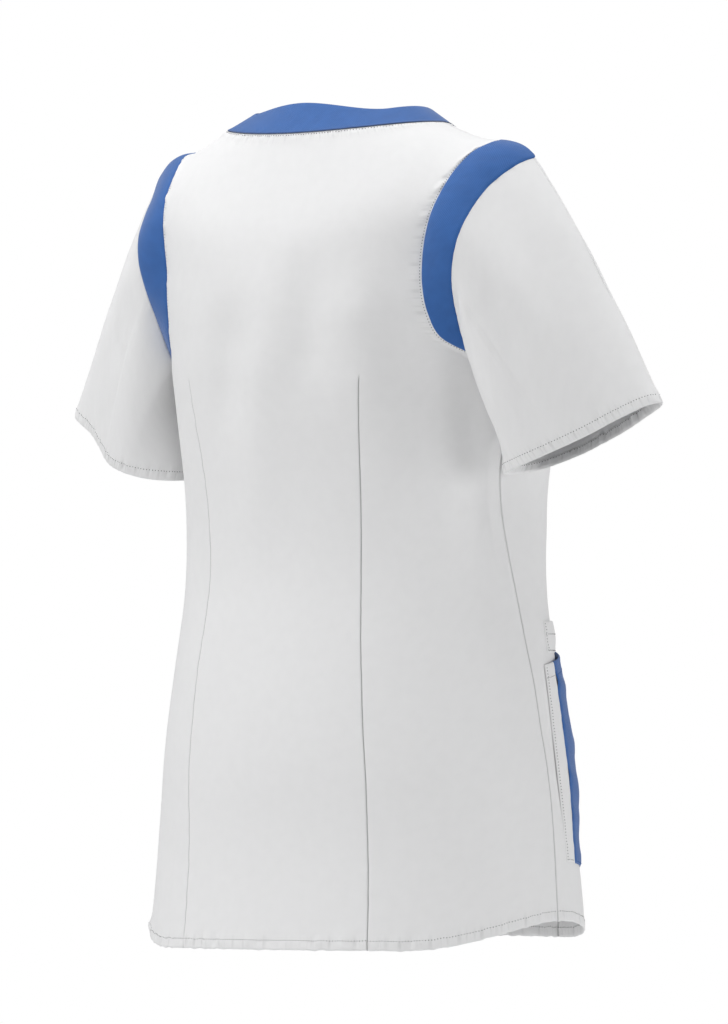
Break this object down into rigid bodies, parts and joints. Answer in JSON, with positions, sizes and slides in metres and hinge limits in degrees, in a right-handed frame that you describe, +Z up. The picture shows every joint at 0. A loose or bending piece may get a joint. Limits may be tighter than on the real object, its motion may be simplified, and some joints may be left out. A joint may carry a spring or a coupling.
{
  "type": "medical tunic",
  "caption": "Short-sleeved medical tunic with a V neck, blue neckband, crescent armhole insets and patch pockets, filled out as if worn.",
  "frame": {"origin": "on the wearer's midline at the height of the neck ends of the shoulder seams, midway between the side seams from front to back, where the wearer's shoulders hold the tunic", "axes": "+Z up, -Y towards the wearer's front, -X towards the wearer's right"},
  "size_m": [0.672, 0.3067, 0.7471],
  "materials": {
    "white_cloth": "matt white poly-cotton twill",
    "blue_cloth": "matt mid-blue poly-cotton twill"
  },
  "bodies": {
    "root": {"back": "white_cloth", "front": "white_cloth", "inset_left": "blue_cloth", "inset_right": "blue_cloth", "neckband": "blue_cloth", "pocket_panel_left": "blue_cloth", "pocket_panel_right": "blue_cloth", "pocket_strip_left": "white_cloth", "pocket_strip_right": "white_cloth", "pocket_upper_right": "white_cloth", "sleeve_left": "white_cloth", "sleeve_right": "white_cloth"}
  },
  "joints": []
}
